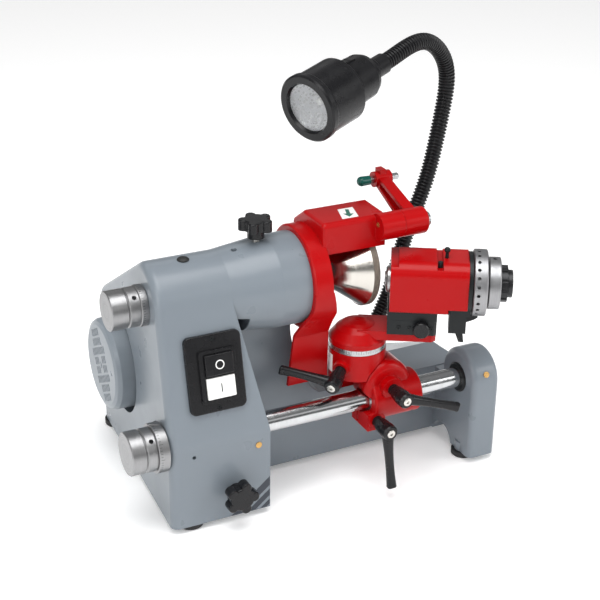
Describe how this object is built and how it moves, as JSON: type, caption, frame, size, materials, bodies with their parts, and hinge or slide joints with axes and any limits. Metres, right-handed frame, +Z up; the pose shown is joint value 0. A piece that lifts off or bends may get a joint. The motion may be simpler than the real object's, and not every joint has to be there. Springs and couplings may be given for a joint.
{
  "type": "tool and cutter grinder",
  "caption": "Bench tool and drill grinder with cup wheel and guard, collet work head on a guide bar, wheel dresser and gooseneck lamp.",
  "frame": {"origin": "on the bench, midway between the four foot holes", "axes": "+X along the wheel spindle from the dials towards the cup wheel, -Y towards the operator, +Z up"},
  "size_m": [0.4988, 0.3857, 0.5091],
  "materials": {
    "casting_paint": "gloss",
    "red_paint": "gloss",
    "black_plastic": "satin",
    "rubber": "matte",
    "turned_aluminium": "turned",
    "ground_steel": "ground",
    "black_steel": "blackened",
    "polished_steel": "polished",
    "brass": "machined",
    "abrasive": "grit",
    "green_plastic": "gloss",
    "white_plastic": "gloss",
    "motor_iron": "cast",
    "grey_enamel": "gloss",
    "lamp_glass": "clear",
    "reflector": "polished"
  },
  "bodies": {
    "base": {"bed_casting": "casting_paint", "rubber_feet": "rubber", "bottom_cover": "ground_steel", "motor_shell": "grey_enamel", "motor_stator": "motor_iron", "dial_seats": "turned_aluminium", "bar_bushes": "black_steel", "wheel_guard": "red_paint", "dresser_pivot": "ground_steel", "switch_housing": "black_plastic", "lamp_socket": "turned_aluminium", "ball_oilers": "brass", "mains_cord": "rubber", "drive_belt": "rubber"},
    "motor": {"motor_rotor": "motor_iron"},
    "quill": {"quill": "ground_steel", "spindle_bearings": "ground_steel", "feed_yoke": "ground_steel"},
    "wheel": {"wheel_spindle": "ground_steel", "spindle_pulley": "turned_aluminium", "wheel_body": "polished_steel", "abrasive_rim": "abrasive", "wheel_nut": "black_steel"},
    "upper_dial": {"upper_dial": "turned_aluminium"},
    "guide_bar": {"guide_bar": "polished_steel"},
    "lower_dial": {"lower_dial": "turned_aluminium"},
    "sleeve": {"slide_sleeve": "ground_steel"},
    "carriage": {"carriage": "red_paint"},
    "swivel_base": {"swivel_base": "red_paint", "pivot_bolts": "ground_steel", "angle_scale": "ground_steel"},
    "swivel_arm": {"swivel_arm": "red_paint", "lower_slide": "black_steel"},
    "head": {"upper_slide": "black_steel", "work_head": "red_paint", "head_clamp_pins": "black_steel", "index_bracket": "black_steel"},
    "work_spindle": {"work_spindle": "ground_steel", "collet": "ground_steel", "index_ring": "ground_steel", "stop_ring": "turned_aluminium"},
    "draw_bar": {"draw_bar": "black_steel"},
    "index_lever": {"index_lever": "black_steel"},
    "slide_knob": {"slide_knob": "black_plastic"},
    "tilt_lever": {"tilt_lever": "black_plastic"},
    "bar_lever": {"bar_lever": "black_plastic"},
    "swivel_lever": {"swivel_lever": "black_plastic"},
    "top_star_knob": {"top_star_knob": "black_plastic"},
    "front_star_knob": {"front_star_knob": "black_plastic"},
    "dresser": {"dresser_arm": "red_paint"},
    "dresser_pin": {"dresser_pin": "ground_steel", "dresser_cap": "green_plastic"},
    "stop_button": {"stop_button": "black_plastic"},
    "start_button": {"start_button": "white_plastic"},
    "lamp_neck": {"lamp_neck": "black_plastic"},
    "lamp_head": {"lamp_head": "black_plastic", "lamp_bezel": "black_plastic", "lamp_glass": "lamp_glass", "lamp_reflector": "reflector"},
    "lamp_rocker": {"lamp_rocker": "black_plastic"}
  },
  "joints": [
    {"name": "motor_spin", "type": "hinge", "parent": "base", "child": "motor", "pos_m": [-0.18, 0.049, 0.133], "axis": [1, 0, 0], "continuous": true},
    {"name": "quill_feed", "type": "slide", "parent": "base", "child": "quill", "axis": [1, 0, 0], "range_m": [-0.003, 0.003]},
    {"name": "wheel_spin", "type": "hinge", "parent": "quill", "child": "wheel", "pos_m": [-0.03, -0.06, 0.258], "axis": [1, 0, 0], "continuous": true},
    {"name": "upper_dial_turn", "type": "hinge", "parent": "base", "child": "upper_dial", "pos_m": [-0.235, -0.06, 0.258], "axis": [1, 0, 0], "range_deg": [-1080, 1080]},
    {"name": "bar_feed", "type": "slide", "parent": "base", "child": "guide_bar", "axis": [1, 0, 0], "range_m": [-0.003, 0.003]},
    {"name": "lower_dial_turn", "type": "hinge", "parent": "base", "child": "lower_dial", "pos_m": [-0.24, -0.118, 0.107], "axis": [1, 0, 0], "range_deg": [-1080, 1080]},
    {"name": "sleeve_slide", "type": "slide", "parent": "guide_bar", "child": "sleeve", "axis": [1, 0, 0], "range_m": [0, 0.055]},
    {"name": "carriage_swing", "type": "hinge", "parent": "sleeve", "child": "carriage", "pos_m": [0.0795, -0.118, 0.107], "axis": [1, 0, 0], "range_deg": [0, 12]},
    {"name": "base_tilt", "type": "hinge", "parent": "carriage", "child": "swivel_base", "pos_m": [0.07, -0.115, 0.1265], "axis": [0, 1, 0], "range_deg": [0, 12]},
    {"name": "head_swivel", "type": "hinge", "parent": "swivel_base", "child": "swivel_arm", "pos_m": [0.045, -0.096, 0.178], "axis": [0, 0, 1], "range_deg": [-45, 30]},
    {"name": "head_slide", "type": "slide", "parent": "swivel_arm", "child": "head", "axis": [0.866, -0.5, 0], "range_m": [0, 0.025]},
    {"name": "work_spindle_turn", "type": "hinge", "parent": "head", "child": "work_spindle", "pos_m": [0.11428, -0.136, 0.258], "axis": [0.866, -0.5, 0], "continuous": true},
    {"name": "draw_bar_turn", "type": "hinge", "parent": "work_spindle", "child": "draw_bar", "pos_m": [0.18789, -0.1785, 0.258], "axis": [0.866, -0.5, 0], "range_deg": [-180, 180]},
    {"name": "index_lever_swing", "type": "hinge", "parent": "head", "child": "index_lever", "pos_m": [0.14546, -0.154, 0.209], "axis": [0.5, 0.866, 0], "range_deg": [-2, 20]},
    {"name": "slide_knob_turn", "type": "hinge", "parent": "swivel_arm", "child": "slide_knob", "pos_m": [0.09309, -0.16071, 0.209], "axis": [-0.5, -0.866, 0], "range_deg": [0, 90]},
    {"name": "tilt_lever_swing", "type": "hinge", "parent": "carriage", "child": "tilt_lever", "pos_m": [0.07, -0.15, 0.1265], "axis": [0, -1, 0], "range_deg": [-35, 25]},
    {"name": "bar_lever_swing", "type": "hinge", "parent": "carriage", "child": "bar_lever", "pos_m": [0.05, -0.15, 0.088], "axis": [0, -1, 0], "range_deg": [-35, 35]},
    {"name": "swivel_lever_swing", "type": "hinge", "parent": "swivel_base", "child": "swivel_lever", "pos_m": [0.00264, -0.12607, 0.14958], "axis": [-0.7119, -0.6689, -0.214], "range_deg": [-35, 0]},
    {"name": "top_knob_turn", "type": "hinge", "parent": "base", "child": "top_star_knob", "pos_m": [-0.072, -0.06, 0.32], "axis": [0, 0, 1], "range_deg": [-180, 180]},
    {"name": "front_knob_turn", "type": "hinge", "parent": "base", "child": "front_star_knob", "pos_m": [-0.138, -0.155, 0.045], "axis": [0, -1, 0], "range_deg": [-180, 180]},
    {"name": "dresser_swing", "type": "hinge", "parent": "base", "child": "dresser", "pos_m": [0.108, -0.103, 0.321], "axis": [1, 0, 0], "range_deg": [-42, 45]},
    {"name": "dresser_pin_feed", "type": "slide", "parent": "dresser", "child": "dresser_pin", "axis": [1, 0, 0], "range_m": [-0.009, 0.004]},
    {"name": "stop_press", "type": "slide", "parent": "base", "child": "stop_button", "axis": [0, 0.9715, -0.2369], "range_m": [0, 0.003]},
    {"name": "start_press", "type": "slide", "parent": "base", "child": "start_button", "axis": [0, 0.9715, -0.2369], "range_m": [0, 0.003]},
    {"name": "lamp_swivel", "type": "hinge", "parent": "base", "child": "lamp_neck", "pos_m": [0.105, -0.018, 0.113], "axis": [0, 0, 1], "range_deg": [-60, 60]},
    {"name": "lamp_tilt", "type": "hinge", "parent": "lamp_neck", "child": "lamp_head", "pos_m": [0.10401, -0.01836, 0.48486], "axis": [-0.3745, 0.9272, 0], "range_deg": [-12, 12]},
    {"name": "lamp_rocker_press", "type": "hinge", "parent": "lamp_head", "child": "lamp_rocker", "pos_m": [0.05009, -0.04014, 0.50193], "axis": [-0.3745, 0.9272, 0], "range_deg": [-16, 0]}
  ],
  "couplings": [
    {"joint": "wheel_spin", "follows": "motor_spin", "ratio": 1.85},
    {"joint": "upper_dial_turn", "follows": "quill_feed", "rad_per_m": 6283.2},
    {"joint": "lower_dial_turn", "follows": "bar_feed", "rad_per_m": 6283.2}
  ]
}
